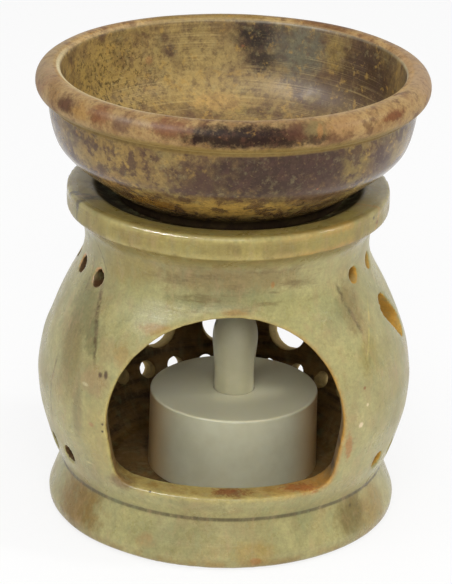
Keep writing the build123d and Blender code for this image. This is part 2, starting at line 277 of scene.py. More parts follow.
MIDDLE = Vector((0, 0, 0.05))
GLINT_GAP = 0.17
softbox("top_light", (-0.10, -0.20, 0.95), 0.9, 0.7, 2.6)
softbox("front_light", (-0.05, -0.85, 0.62), 0.6, 0.35, 3.8)
softbox("right_light", (0.75, -0.09, 0.57), 0.14, 0.14, 1.9)
for number in range(3):
    along = (number - 1) * GLINT_GAP
    place = (-0.56 + 0.54 * along, -0.36 - 0.84 * along, 0.68)
    softbox(f"left_glint_{number}", place, 0.10, 0.05, 5.0, lights_matt=False)

# %% [markdown]
# ## Turning on a lathe, as a node tree
# Both stone pieces are turned: one half-outline goes round an axis. A Screw modifier could spin it, but a
# node tree keeps the outline, the drilled rows and the wear in one place, and the same tree serves both
# pieces. The outline comes in as chains of edges, one for each stretch between two corners. Each chain
# becomes a Catmull-Rom curve, which runs smoothly through its points, and Curve to Mesh carries them round
# a small circle.

# %% Lathe tree
SPINDLE = 1.0 * MM
WELD = 0.02 * MM


def lathe_tree():
    """Turn an outline, drawn with X as radius and Y as height, about the Z axis."""
    given, out = new_group(
        "lathe", "Geometry", {"Form": "Geometry"}, Outline="Geometry", Facets=192, Steps=10
    )
    shifted = geo("Transform", given["Outline"], Translation=(-SPINDLE, 0, 0), Scale=(1, -1, 1))
    chains = geo("MeshToCurve", shifted)
    smooth = add("GeometryNodeCurveSplineType", {0: chains}, spline_type="CATMULL_ROM")
    fine = geo("SetSplineResolution", smooth, Resolution=given["Steps"])
    spindle = geo("CurvePrimitiveCircle", given["Facets"], Radius=SPINDLE)
    form = geo("FlipFaces", geo("CurveToMesh", spindle, Profile_Curve=fine))
    return end_group(out, geo("MergeByDistance", form, Distance=WELD))


LATHE = lathe_tree()
print("lathe tree with", len(LATHE.nodes), "nodes")

# %% [markdown]
# ## Drilling rows of holes
# The holes stand in rows round the belly. One drill is a long cylinder that lies along -Y. Two of them,
# moved apart and wrapped in a convex hull, make the drill for a slot. The drill is put on one point for
# each hole and turned about the axis by its bearing. A row drilled by hand need not be level: its drills
# may fall outwards, and the row may climb to one side and sink at the back. Mesh Boolean then takes all
# the drills away at once.

# %% Drill row tree
DRILL_SIDES = 40


def drill_row_tree():
    """A row of drills between two bearings, counted from the front."""
    given, out = new_group(
        "drill_row", "Geometry", {"Drills": "Geometry"}, Count=5, First_Bearing=0.0, Last_Bearing=0.0,
        Height=0.0, Width=0.0, Length=0.0, Tilt=0.0, Outside=0.04, Reach=0.02, Slope=0.0, Skew=0.0, Fall=0.0
    )
    sizes = {"Radius": times(given["Width"], 0.5), "Depth": times(given["Reach"], 2.0)}
    rod = add("GeometryNodeMeshCylinder", {"Vertices": DRILL_SIDES, **sizes})
    half_gap = times(minus(given["Length"], given["Width"]), 0.5)
    ends = add("GeometryNodeJoinGeometry")
    for side in (-1, 1):
        laid = geo("Transform", rod, Translation=xyz(X=times(half_gap, side)), Rotation=(math.pi / 2, 0, 0))
        tree.links.new(laid, ends.inputs[0])
    drill = geo("Transform", geo("ConvexHull", ends), Rotation=xyz(Y=given["Tilt"]))
    place = xyz(Y=times(given["Outside"], -1.0), Z=given["Height"])
    drill = geo("Transform", drill, Translation=place, Rotation=xyz(X=given["Slope"]))
    share = calc("DIVIDE", add("GeometryNodeInputIndex"), minus(given["Count"], 1))
    sweep = minus(given["Last Bearing"], given["First Bearing"])
    bearing = times_plus(share, sweep, given["First Bearing"])
    sideways = times(calc("SINE", bearing), given["Skew"])
    backwards = times_plus(calc("COSINE", bearing), 0.5, -0.5)
    level = times_plus(backwards, given["Fall"], sideways)
    points = geo("Points", given["Count"], Position=xyz(Z=level))
    row = geo("InstanceOnPoints", points, Instance=drill, Rotation=xyz(Z=bearing))
    return end_group(out, geo("RealizeInstances", row))


DRILL_ROW = drill_row_tree()
print("drill row tree with", len(DRILL_ROW.nodes), "nodes")

# %% [markdown]
# ## Wear, as a node tree
# Hand-finished stone has no sharp edge and no perfect circle. This tree takes an evenly remeshed form. It
# compares each point with the average of its neighbours: a point that stands proud of it lies on an edge,
# and one that lies under it is in a crease. Both are stored as attributes for the materials. Then the
# points are averaged a little, which rounds the edges as rubbing does, most of all inside a box that the
# piece names, and pushed in and out by a slow noise for the uneven hand of the maker. The last attribute,
# `facing`, is 1 on outer walls and -1 on inner ones, so that the inside of the stand can be sooty.

# %% Wear tree
EDGE_START, EDGE_FULL = 0.06 * MM, 0.42 * MM
RUB_FADE = 2 * MM


def average_place(place, rounds):
    """The place of a point, averaged with its neighbours."""
    blur = add("GeometryNodeBlurAttribute", {"Iterations": rounds}, data_type="FLOAT_VECTOR")
    tree.links.new(place, next(s for s in blur.inputs if s.name == "Value" and s.enabled))
    return next(s for s in blur.outputs if s.enabled)


def wear_tree():
    given, out = new_group(
        "hand_wear", "Geometry", {"Worn": "Geometry"}, Form="Geometry", Edge_Reach=10, Soften=4,
        Elsewhere=0.3, Rubbed_Low=(-1.0, -1.0, -1.0), Rubbed_High=(1.0, 1.0, 1.0), Wobble=0.0,
        Wobble_Size=0.02, Seed=0.0, Finish="Material"
    )
    place = add("GeometryNodeInputPosition").outputs[0]
    normal = add("GeometryNodeInputNormal").outputs[0]
    proud = vec("DOT_PRODUCT", vec("SUBTRACT", place, average_place(place, given["Edge Reach"])), normal)
    outward = vec("NORMALIZE", vec("MULTIPLY", place, (1, 1, 0)))
    stored = {
        "edge": rise(proud, EDGE_START, EDGE_FULL),
        "crease": rise(proud, -EDGE_START, -EDGE_FULL),
        "facing": vec("DOT_PRODUCT", outward, normal),
    }
    form = given["Form"]
    for name, value in stored.items():
        form = geo("StoreNamedAttribute", form, Name=name, Value=value)
    above_low = vec("SUBTRACT", place, given["Rubbed Low"])
    below_high = vec("SUBTRACT", given["Rubbed High"], place)
    inside = sides_of(vec("MINIMUM", above_low, below_high))
    nearest = calc("MINIMUM", calc("MINIMUM", inside["X"], inside["Y"]), inside["Z"])
    rubbed = rise(nearest, 0.0, RUB_FADE, given["Elsewhere"], 1.0)
    rub = scaled(vec("SUBTRACT", average_place(place, given["Soften"]), place), rubbed)
    form = geo("SetPosition", form, Offset=rub)
    slow = noise(place, given["Wobble Size"], given["Seed"], 2.0, 0.5)
    form = geo("SetPosition", form, Offset=scaled(normal, times(minus(slow, 0.5), given["Wobble"])))
    form = geo("SetShadeSmooth", geo("RealizeInstances", form))
    return end_group(out, geo("SetMaterial", form, Material=given["Finish"]))


WEAR = wear_tree()
print("wear tree with", len(WEAR.nodes), "nodes")


# %% Using the trees
def put_tree(piece, group, **values):
    """Add a Geometry Nodes modifier and set its inputs, which Blender keys by socket identifier."""
    made = piece.modifiers.new(group.name, "NODES")
    made.node_group = group
    names = {item.name: item.identifier for item in group.interface.items_tree if item.in_out == "INPUT"}
    for label, value in spaced(values).items():
        made[names[label]] = value


def outline_object(name, stretches):
    """Chains of edges from lists of (radius, height)."""
    shape = bmesh.new()
    for stretch in stretches:
        points = [shape.verts.new((radius, height, 0)) for radius, height in stretch]
        for first, second in zip(points, points[1:]):
            shape.edges.new((first, second))
    mesh = bpy.data.meshes.new(name)
    shape.to_mesh(mesh)
    shape.free()
    return put(name, mesh)


def settle(piece, name):
    """Replace a piece that carries modifiers by its finished mesh."""
    ready = piece.evaluated_get(bpy.context.evaluated_depsgraph_get())
    mesh = bpy.data.meshes.new_from_object(ready)
    mesh.name = name
    bpy.data.objects.remove(piece)
    triangles = sum(len(p.vertices) - 2 for p in mesh.polygons)
    print(name, "has", len(mesh.vertices), "points and", triangles, "triangles")
    return put(name, mesh)


print("tree helpers ready")

# %% [markdown]
# ## The stand's shape
# The half-outline runs out along the foot, up the belly and shoulder to the collar, over the seat for the
# bowl, and down the inside to the floor. Its radii are shares of the belly's radius and its heights are
# shares of the stand's height, both read from the measured model. The arch is one more cutter, drawn as it
# looks from the front.

# %% Stand outline
stand_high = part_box("burner_body")[1]
BELLY, TOP = stand_high.x, stand_high.z
FLOOR = 0.1124
stand_shares = [
    [(0, 0), (0.909, 0)],
    [(0.909, 0), (0.933, 0.012), (0.940, 0.040)],
    [(0.940, 0.040), (0.8664, 0.1442)],
    [
        (0.8664, 0.1442), (0.920, 0.207), (0.957, 0.273), (0.9875, 0.341), (1.0, 0.410), (0.9965, 0.450),
        (0.972, 0.529), (0.922, 0.608), (0.857, 0.688), (0.7814, 0.767), (0.758, 0.807), (0.753, 0.843),
        (0.769, 0.890), (0.828, 0.930),
    ],
    [(0.828, 0.930), (0.844, 0.935), (0.850, 0.942), (0.850, 0.990)],
    [(0.850, 0.990), (0.8465, 0.998), (0.838, 1.0)],
    [(0.838, 1.0), (0.723, 1.0)],
    [(0.723, 1.0), (0.625, 0.970)],
    [(0.625, 0.970), (0.561, 0.970)],
    [(0.561, 0.970), (0.598, 0.843)],
    [
        (0.598, 0.843), (0.603, 0.807), (0.6277, 0.767), (0.707, 0.688), (0.7757, 0.608), (0.8272, 0.529),
        (0.8537, 0.450), (0.8568, 0.410), (0.8501, 0.344), (0.8317, 0.291), (0.783, 0.225), (0.705, 0.159),
        (0.6086, FLOOR),
    ],
    [(0.6086, FLOOR), (0, FLOOR)],
]
stand_stretches = [[(BELLY * r, TOP * h) for r, h in stretch] for stretch in stand_shares]
print("stand", round(2 * BELLY / MM, 1), "mm across the belly and", round(TOP / MM, 1), "mm tall")

# %% Arch cutter
SILL = 0.225 * TOP
SPRING = 0.410 * TOP
ARCH_RISE = 0.3347 * TOP
CROWN = 0.033 * BELLY
ARCH_HALF = 0.606 * BELLY
SILL_HALF = 0.568 * BELLY
SILL_CORNER = 4.2 * MM
CORNER_STEPS, ARCH_STEPS = 8, 24
CUT_PAST = 3 * MM


def arch_side(side):
    """One side of the arch from the sill's middle up to the crown, as (x, z). Side is 1 right and -1 left."""
    points = [(0, SILL)]
    centre = (SILL_HALF - SILL_CORNER, SILL + SILL_CORNER)
    for step in range(CORNER_STEPS + 1):
        angle = -math.pi / 2 * (1 - step / CORNER_STEPS)
        across = centre[0] + SILL_CORNER * math.cos(angle)
        points.append((side * across, centre[1] + SILL_CORNER * math.sin(angle)))
    reach = ARCH_HALF - side * CROWN
    for step in range(ARCH_STEPS + 1):
        angle = math.pi / 2 * step / ARCH_STEPS
        points.append((CROWN + side * reach * math.cos(angle), SPRING + ARCH_RISE * math.sin(angle)))
    return points


ring = arch_side(1) + arch_side(-1)[-2:0:-1]
shape = bmesh.new()
face = shape.faces.new([shape.verts.new((x, -BELLY - CUT_PAST, z)) for x, z in ring])
swept = bmesh.ops.extrude_face_region(shape, geom=[face])["geom"]
moved = [part for part in swept if isinstance(part, bmesh.types.BMVert)]
bmesh.ops.translate(shape, verts=moved, vec=(0, BELLY + CUT_PAST, 0))
bmesh.ops.recalc_face_normals(shape, faces=shape.faces)
arch_mesh = bpy.data.meshes.new("arch_cutter")
shape.to_mesh(arch_mesh)
shape.free()
arch_cutter = put("arch_cutter", arch_mesh)
print("arch", round(2 * ARCH_HALF / MM, 1), "mm wide")

# %% Stand tree
# Bearings and angles are in degrees, heights are shares of the stand's, and other sizes are in millimetres.
DRILL_REACH = 0.44 * BELLY
HOLE_ROWS = {
    "shoulder": dict(Count=15, First=59.5, Last=300, Height=0.7884, Width=3.5, Skew=1.15),
    "slots": dict(Count=7, First=79, Last=259, Height=0.6323, Width=5.6, Length=13.2, Tilt=48),
    "back": dict(Count=5, First=129, Last=231, Height=0.3413, Width=9.4, Slope=14),
    "foot": dict(Count=20, First=60, Last=300, Height=0.2354, Width=3.9, Slope=18, Fall=2.4),
}


def stand_tree():
    """Lathe, arch and drilled rows in one tree."""
    given, out = new_group(
        "pierced_stand", "Geometry", {"Stand": "Geometry"}, Outline="Geometry", Facets=192, Arch="Object"
    )
    turned = {"Outline": given["Outline"], "Facets": given["Facets"]}
    form = add("GeometryNodeGroup", turned, node_tree=LATHE)
    arch = add("GeometryNodeObjectInfo", {"Object": given["Arch"]})
    cut = add("GeometryNodeMeshBoolean", {"Mesh 1": form}, operation="DIFFERENCE", solver="MANIFOLD")
    for row in HOLE_ROWS.values():
        sizes = {"Count": row["Count"], "Height": row["Height"] * TOP, "Outside": BELLY, "Reach": DRILL_REACH}
        sizes["Length"] = row.get("Length", row["Width"]) * MM
        for name in ("Width", "Skew", "Fall"):
            sizes[name] = row.get(name, 0) * MM
        for name in ("Tilt", "Slope"):
            sizes[name] = math.radians(row.get(name, 0))
        for name in ("First", "Last"):
            sizes[name + " Bearing"] = math.radians(row[name])
        drills = add("GeometryNodeGroup", sizes, node_tree=DRILL_ROW)
        tree.links.new(drills.outputs[0], cut.inputs["Mesh 2"])
    tree.links.new(arch.outputs["Geometry"], cut.inputs["Mesh 2"])
    return end_group(out, cut.outputs["Mesh"])


STAND = stand_tree()
print("stand tree drills", sum(row["Count"] for row in HOLE_ROWS.values()), "holes")

# %% [markdown]
# ## The bowl's shape
# The bowl comes off the same lathe. Its lip is a fat roll, so that stretch is an arc of a circle, worked
# out from its centre and radius, and it ends in a crisp edge inside. There the wall thickens towards the
# flat bottom. The bowl is loose, and stands a hair to the right on its seat, as in the picture.

# %% Bowl outline
bowl_low, bowl_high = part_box("oil_bowl")
LIP_OUT, LIP_TOP = bowl_high.x, bowl_high.z
SEAT = bowl_low.z
DEEP = LIP_TOP - SEAT
ROLL = 3.4 * MM
ROLL_START, ROLL_SWEEP, ROLL_STEPS = -67, 193, 14
BOWL_ASIDE = 0.5 * MM
roll_centre = (LIP_OUT - ROLL, LIP_TOP - ROLL)
roll = []
for step in range(ROLL_STEPS + 1):
    angle = math.radians(ROLL_START + ROLL_SWEEP * step / ROLL_STEPS)
    roll.append((roll_centre[0] + ROLL * math.cos(angle), roll_centre[1] + ROLL * math.sin(angle)))
bowl_outside = [
    [(0, 0), (0.5837, 0)],
    [(0.5837, 0), (0.5837, 0.068)],
    [
        (0.5837, 0.068), (0.672, 0.152), (0.7405, 0.230), (0.802, 0.300), (0.8516, 0.3673), (0.886, 0.432),
        (0.9056, 0.4985), (0.920, 0.575), (0.9326, 0.6712),
    ],
    [(0.9326, 0.6712), (0.9326, 0.7775)],
    [(0.9326, 0.7775), (0.9519, 0.7775)],
]
bowl_inside = [
    [
        (0.8395, 0.6712), (0.827, 0.590), (0.8077, 0.5162), (0.779, 0.451), (0.7442, 0.3983), (0.688, 0.337),
        (0.6128, 0.2753), (0.530, 0.203), (0.4419, 0.1363),
    ],
    [(0.4419, 0.1363), (0, 0.1363)],
]
outside, inside = (
    [[(LIP_OUT * r, SEAT + DEEP * h) for r, h in stretch] for stretch in shares]
    for shares in (bowl_outside, bowl_inside)
)
bowl_stretches = [*outside, [outside[-1][-1], roll[0]], roll, [roll[-1], inside[0][0]], *inside]
print("bowl", round(2 * LIP_OUT / MM, 1), "mm across the lip and", round(DEEP / MM, 1), "mm deep outside")

# %% Stone meshes
FACETS = 240
STAND_FACE, BOWL_FACE = 0.52 * MM, 0.48 * MM
STAND_KEPT, BOWL_KEPT = 0.44, 0.66


def turned_stone(name, stretches, group, voxel, keep, finish, wear, **sizes):
    """Turn an outline, remesh it into even small faces, wear it, thin the flatter faces out and settle it."""
    piece = outline_object(name + "_outline", stretches)
    put_tree(piece, group, Facets=FACETS, **sizes)
    even = piece.modifiers.new("even_faces", "REMESH")
    even.mode, even.voxel_size = "VOXEL", voxel
    put_tree(piece, WEAR, Finish=finish, **wear)
    piece.modifiers.new("thin_out", "DECIMATE").ratio = keep
    return settle(piece, name)


RUBBED = [tuple(side * MM for side in corner) for corner in ((-29, -60, 18), (29, -17, 59))]
stand_finish = bpy.data.materials.new("pale_soapstone")
bowl_finish = bpy.data.materials.new("dark_soapstone")
stand_wear = dict(Edge_Reach=22, Soften=22, Elsewhere=0.10, Wobble=0.5 * MM, Wobble_Size=26 * MM, Seed=3.0)
stand_wear.update(Rubbed_Low=RUBBED[0], Rubbed_High=RUBBED[1])
bowl_wear = dict(Edge_Reach=8, Soften=1, Wobble=0.35 * MM, Wobble_Size=24 * MM, Seed=8.0)
stand = turned_stone(
    "carved_stand", stand_stretches, STAND, STAND_FACE, STAND_KEPT, stand_finish, stand_wear,
    Arch=arch_cutter
)
bowl = turned_stone(
    "turned_bowl", bowl_stretches, LATHE, BOWL_FACE, BOWL_KEPT, bowl_finish, bowl_wear
)
bpy.data.objects.remove(arch_cutter)
bowl.data.transform(Matrix.Translation((BOWL_ASIDE, 0, 0)))
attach(stand, "burner")
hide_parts("burner_body")
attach(bowl, "bowl")
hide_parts("oil_bowl")

# %% [markdown]
# ## Shader groups for stone
# Soapstone is a solid material, so its colours are laid out in space and not on the surface: a dark cloud
# that shows outside the bowl shows inside as well. Each effect below is a node group with named inputs.
# `Place` is the Object coordinate in millimetres. A cloud is plain noise between two thresholds. A patch
# is a cloud with a chosen middle and reach. A vein is a thin line that climbs the turned form at one
# bearing. Specks are cells of a Voronoi texture, of which only a share is kept.

# %% Cloud and patch groups
MASK = {"Mask": "Float"}


def cloud_group():
    given, out = new_group(
        "stone_cloud", "Shader", MASK, Place="Vector", Size=10.0, Seed=0.0, Low=0.45, High=0.65
    )
    value = noise(given["Place"], given["Size"], given["Seed"], 7.0, 0.62)
    return end_group(out, rise(value, given["Low"], given["High"]))


def patch_group():
    given, out = new_group(
        "stone_patch", "Shader", MASK, Place="Vector", Centre="Vector", Reach=(5.0, 5.0, 5.0), Ragged=1.5,
        Grain=5.0, Seed=0.0
    )
    from_middle = vec("SUBTRACT", given["Place"], given["Centre"])
    distance = vec("LENGTH", vec("DIVIDE", from_middle, given["Reach"]))
    tear = minus(noise(given["Place"], given["Grain"], given["Seed"], 7.0, 0.68), 0.5)
    return end_group(out, rise(times_plus(tear, given["Ragged"], distance), 1.4, 0.5))


CLOUD, PATCH = cloud_group(), patch_group()
print("groups", CLOUD.name, PATCH.name)


# %% Vein, speck and turning groups
def around(place):
    """Bearing from the front in radians, radius and height of a point."""
    sides = sides_of(place)
    radius = vec("LENGTH", vec("MULTIPLY", place, (1, 1, 0)))
    return calc("ARCTAN2", sides["X"], times(sides["Y"], -1)), radius, sides["Z"]


def vein_group():
    given, out = new_group(
        "stone_vein", "Shader", MASK, Place="Vector", Bearing=0.0, Height=0.0, Half_Length=10.0, Width=1.0,
        Lean=0.0, Wander=4.0, Seed=0.0
    )
    bearing, radius, height = around(given["Place"])
    up = minus(height, given["Height"])
    turn = minus(bearing, calc("RADIANS", given["Bearing"]))
    aside = minus(times(turn, radius), times(up, given["Lean"]))
    sway = minus(noise(given["Place"], 7.0, given["Seed"], 4.0, 0.65), 0.5)
    aside = calc("ABSOLUTE", times_plus(sway, given["Wander"], aside))
    line = rise(calc("DIVIDE", aside, given["Width"]), 1.0, 0.1)
    ends = rise(calc("DIVIDE", calc("ABSOLUTE", up), given["Half Length"]), 1.0, 0.6)
    return end_group(out, times(line, ends))


def speck_group():
    given, out = new_group(
        "stone_specks", "Shader", MASK, Place="Vector", Spacing=4.0, Size=0.3, Share=0.3, Seed=0.0
    )
    bent = noise(given["Place"], 1.2, given["Seed"], 3.0)
    laid = {"Vector": given["Place"], "W": given["Seed"], "Scale": calc("DIVIDE", 1.0, given["Spacing"])}
    cells = add("TexVoronoi", laid, voronoi_dimensions="4D").outputs
    chance = add("SeparateColor", {0: cells["Color"]}).outputs[0]
    kept = calc("LESS_THAN", chance, given["Share"])
    distance = times_plus(minus(bent, 0.5), 0.35, cells["Distance"])
    return end_group(out, times(rise(calc("DIVIDE", distance, given["Size"]), 1.0, 0.55), kept))


def turning_group():
    """Fine lines that a chisel leaves round a turned form, and that fade in places."""
    given, out = new_group(
        "turning_lines", "Shader", {"Line": "Float"}, Place="Vector", Spacing=0.5, Seed=0.0
    )
    bearing, radius, height = around(given["Place"])
    spot = xyz(X=times_plus(radius, 0.8, height), Y=times(bearing, 0.35))
    fine = noise(spot, given["Spacing"], given["Seed"], 3.0, 0.6)
    fade = rise(noise(given["Place"], 11.0, given["Seed"], 2.0), 0.35, 0.65)
    return end_group(out, times_plus(minus(fine, 0.5), fade, 0.5))


VEIN, SPECKS, TURNING = vein_group(), speck_group(), turning_group()
print("groups", VEIN.name, SPECKS.name, TURNING.name)


# %% Layering helpers
def mask_of(group, what="", **values):
    """Place a shader group, labelled with what it draws, and give its first output."""
    return add("Group", spaced(values), node_tree=group, label=what).outputs[0]


def cloud(place, size, seed, low, high):
    return mask_of(CLOUD, Place=place, Size=size, Seed=seed, Low=low, High=high)


def over(under, colour, *masks):
    """Lay a painted colour over another where all the masks are 1."""
    return tint(times(*masks), under, paint(*colour))


def without(mask, other):
    return times(mask, minus(1.0, other))


def start(material):
    """Begin a material, and give the Object coordinate in millimetres."""
    material.use_nodes = True
    work_on(material.node_tree)
    return scaled(add("TexCoord").outputs["Object"], 1 / MM)


def start_stone(material):
    """Begin a stone, and give its place and the bearing, radius and height there."""
    place = start(material)
    return place, *around(place)


def left_by_wear(name):
    """What the wear tree stored at each point: edge, crease or facing."""
    return add("Attribute", attribute_name=name).outputs["Fac"]


def close(colour, roughness, normal, **settings):
    """End a tree in a Principled shader. Settings name its plain sockets."""
    inputs = {"Base Color": colour, "Roughness": roughness, "Normal": normal, **spaced(settings)}
    shader = add("BsdfPrincipled", inputs)
    add("OutputMaterial", {"Surface": shader})


def bump(height, depth, **under):
    """Raise the surface by `depth` millimetres where the height is 1."""
    inputs = {"Height": height, "Distance": depth * MM, "Strength": 1.0, **under}
    return add("Bump", inputs).outputs[0]


def lay_patches(place, colour, patches, coarsest=4.0):
    """Lay listed patches over a colour, one after another."""
    for number, (what, centre, reach, ragged, painted, weight) in enumerate(patches):
        grain = min(coarsest, 0.7 * min(reach))
        shape = dict(Centre=centre, Reach=reach, Ragged=ragged, Grain=grain, Seed=number * 1.7)
        mask = mask_of(PATCH, what, Place=place, **shape)
        colour = over(colour, painted, mask, weight)
    return colour


def ring_line(radius, height, at_radius, at_height, reach):
    """1 on a ring round the axis, falling to 0 at `reach` millimetres from it."""
    off = xyz(X=minus(radius, at_radius), Y=minus(height, at_height))
    return rise(vec("LENGTH", off), reach, 0.4 * reach)


print("layering helpers ready")

# %% [markdown]
# ## The stand's stone
# The stand is a khaki and grey-green stone with beige and brown clouds, rubbed to a soft gloss. The layers
# go from large to small: broad clouds, upright streaks, patches that sit where the real stone has them,
# veins, cut faces, then wear, painted highlights and painted shade. Where stone was cut through, at the arch
# and the holes, it is ochre; the holes on the left are painted dark red as their shade, and those on the
# right golden as lit walls. The inside is brown and dull.

# %% Stand patches
# Each patch has a middle and a reach in millimetres, how ragged it is, its colour and its weight.
STAND_PATCHES = [
    ("yellow shoulder", (-21, -23, 65), (9, 8, 5), 1.6, (154, 138, 82), 0.75),
    ("pale shoulder, left", (-16, -28, 57), (9, 7, 5), 1.4, (168, 166, 124), 0.7),
    # The brown under the collar is partly the stone's band and partly painted shade under the collar's
    # overhang.
    ("brown under the collar", (0, -31, 65), (19, 6, 3.4), 2.4, (134, 116, 78), 0.75),
    ("green below that", (2, -31.5, 60), (14, 6, 2.2), 2.6, (122, 124, 92), 0.6),
    ("pale above the arch", (14, -31, 57), (11, 7, 5), 1.4, (168, 164, 120), 0.7),
    ("green haze, left", (-31, -18, 52), (3.6, 6, 8), 1.5, (120, 116, 78), 0.75),
    ("olive band, left", (-33.5, -21, 43), (2.6, 6, 10), 1.5, (130, 116, 74), 0.7),
    ("dark green band", (-29, -24, 48), (1.6, 3, 5), 1.4, (104, 104, 70), 0.65),
    ("pink, left", (-28.5, -29, 40), (3.8, 5, 3.2), 2, (164, 136, 108), 0.6),
    ("grey streak, left", (-32, -27, 32), (1.2, 4, 7), 1.8, (126, 112, 86), 0.55),
    ("pale left jamb", (-27, -31, 26), (4.6, 5, 9), 1.4, (178, 164, 114), 0.6),
    ("orange on the left arch", (-14.5, -32, 53.2), (4.6, 3, 1.3), 2, (170, 126, 72), 0.6),
    ("orange on the crown", (1.7, -33, 57.6), (2.6, 2, 1), 1.6, (168, 126, 70), 0.6),
    ("orange on the left side", (-22.2, -31, 46.6), (2.2, 3, 2.6), 2, (166, 128, 76), 0.45),
    ("brown haze, right", (26.5, -21.5, 55), (3.4, 4, 6), 1.8, (132, 114, 80), 0.65),
    ("green beside it", (21.5, -25, 54), (4, 4, 6), 1.8, (142, 146, 110), 0.5),
    ("yellow-olive, right", (31, -24, 45), (2.6, 5, 5), 1.6, (152, 138, 84), 0.65),
    ("dull right belly", (35, -19, 36), (5, 9, 13), 1.8, (146, 136, 92), 0.5),
    ("orange stain", (27, -31.5, 26.4), (0.9, 2, 3.4), 2.2, (172, 112, 62), 0.7),
    ("olive on the foot", (28.5, -24.5, 7), (4.2, 6, 4.4), 1.5, (116, 100, 56), 0.85),
    ("yellow beside it", (34.5, -18, 6), (4, 6, 5), 1.6, (152, 126, 70), 0.75),
    ("brown foot, left", (-31.5, -20, 6), (7, 9, 6), 2, (130, 102, 46), 0.9),
    ("green foot", (-12, -35.5, 6), (12, 7, 4), 1.8, (144, 142, 104), 0.6),
    ("pink on the foot", (-16.6, -35, 4.7), (2.2, 2, 1.6), 1.6, (172, 136, 98), 0.55),
    ("yellow on the foot", (7, -38, 3.6), (5, 3, 2.5), 1.6, (166, 142, 84), 0.55),
    ("orange on the foot", (7.4, -38.5, 2), (1.2, 1.6, 0.9), 1.2, (172, 110, 46), 0.85),
    ("brown at the back", (10, 38, 44), (14, 8, 12), 2.2, (138, 120, 80), 0.6),
    ("green at the back", (-20, 33, 30), (12, 9, 12), 2, (132, 134, 98), 0.6),
]
# These lie on the cut faces as well, and go on last.
STAND_MARKS = [
    ("red on the sill", (1.7, -35.4, 17), (3.6, 2, 1), 4, (122, 52, 38), 0.7),
    ("red on the sill, right", (16.3, -32.2, 17), (4.4, 1.8, 1), 4, (152, 76, 42), 0.65),
    ("brown sill corner", (-22, -31.5, 17.6), (3, 3, 2), 1.6, (108, 76, 50), 0.7),
    ("purple spot", (-27, -29.8, 41.6), (0.5, 1, 0.6), 0.8, (86, 62, 58), 0.8),
    ("long purple spot", (-25.8, -30.7, 42), (0.45, 1, 0.95), 0.8, (80, 56, 52), 0.85),
    ("white fleck, left", (-30.3, -27.7, 38.5), (0.8, 1.2, 0.4), 1.4, (214, 204, 178), 0.7),
    ("pink spot", (-28.9, -30.3, 30.1), (0.7, 1, 0.5), 1, (172, 124, 96), 0.65),
    ("jamb pit", (-26.4, -32.5, 31.1), (0.3, 0.6, 0.3), 0.8, (50, 36, 24), 0.9),
    ("jamb pit, lower", (-26.4, -32.4, 29.4), (0.3, 0.6, 0.3), 0.8, (50, 36, 24), 0.9),
    ("scratch", (-29.2, -27, 19.4), (1.2, 1.4, 0.22), 0.8, (206, 194, 154), 0.8),
    ("white fleck, right", (29.5, -29.7, 31), (0.6, 0.8, 0.6), 0.8, (232, 214, 194), 0.95),
    ("small white fleck", (30.9, -27.9, 35), (0.3, 0.6, 0.36), 0.6, (222, 210, 184), 0.9),
    ("rust fleck", (30.1, -27.8, 38.9), (0.36, 0.6, 0.36), 0.6, (138, 88, 52), 0.8),
    ("orange dot", (9.4, -30.1, 63.3), (0.45, 0.6, 0.8), 1, (164, 116, 64), 0.75),
    ("collar pit", (31.1, -17.3, 74.2), (0.36, 0.5, 0.36), 0.6, (58, 46, 28), 0.8),
    ("collar spot", (31.9, -15.7, 72.7), (0.5, 0.8, 0.45), 0.8, (112, 62, 30), 0.85),
    ("sill pit", (-15.9, -35.4, 17), (0.36, 0.6, 0.5), 0.6, (40, 30, 20), 0.9),
    ("foot pit", (28.4, -24.2, 9), (0.4, 0.6, 0.4), 0.6, (66, 54, 30), 0.8),
    ("collar crack, outer", (-34, -8.6, 75.4), (1.9, 0.8, 1.4), 0.8, (74, 64, 40), 0.9),
    ("collar crack, middle", (-31.7, -9.9, 75.4), (1.9, 0.8, 1.4), 0.8, (70, 60, 38), 0.9),
    ("collar crack, inner", (-29.6, -11.2, 75.4), (1.8, 0.8, 1.4), 0.8, (64, 54, 34), 0.9),
    ("second crack, outer", (-32.6, -14, 75), (1.5, 0.9, 2.2), 0.8, (80, 70, 44), 0.85),
    ("second crack, inner", (-30.4, -12.4, 75.4), (1.6, 0.9, 1.4), 0.8, (70, 60, 38), 0.9),
]
print(len(STAND_PATCHES), "patches and", len(STAND_MARKS), "marks on the stand")

# %% Stand material
STAND_WARMTH = (0.935, 0.9, 0.7, 1)
COLLAR_EDGE = (35.4, 75.4)

place, bearing, radius, height = start_stone(stand_finish)
edge, crease, facing = (left_by_wear(name) for name in ("edge", "crease", "facing"))
flat_place = vec("MULTIPLY", place, (0.24, 0.24, 1.5))
tall_place = vec("MULTIPLY", place, (1, 1, 0.13))
streak_place = vec("MULTIPLY", place, (1, 1, 0.38))

stone = tint(cloud(place, 17, 2, 0.4, 0.64), paint(178, 172, 131), paint(157, 153, 116))
beige = cloud(place, 8, 5, 0.46, 0.68)
stone = over(stone, (170, 150, 112), beige, 0.6)
drips = cloud(tall_place, 2.6, 9, 0.5, 0.7)
stone = over(stone, (134, 126, 86), drips, 0.35)
pale_drips = cloud(tall_place, 2.2, 14, 0.52, 0.72)
stone = over(stone, (180, 172, 126), pale_drips, 0.35)
stone = lay_patches(place, stone, STAND_PATCHES)

shoulder = times(rise(height, 53, 59), rise(height, 70, 66))
bands = cloud(flat_place, 2.2, 4, 0.5, 0.66)
near_front = mask_of(PATCH, Place=place, Centre=(2, -32, 63), Reach=(19, 12, 7), Ragged=1.2, Seed=6)
stone = over(stone, (110, 90, 60), bands, shoulder, near_front, 0.6)
stone = over(stone, (130, 118, 80), bands, shoulder, 0.2)

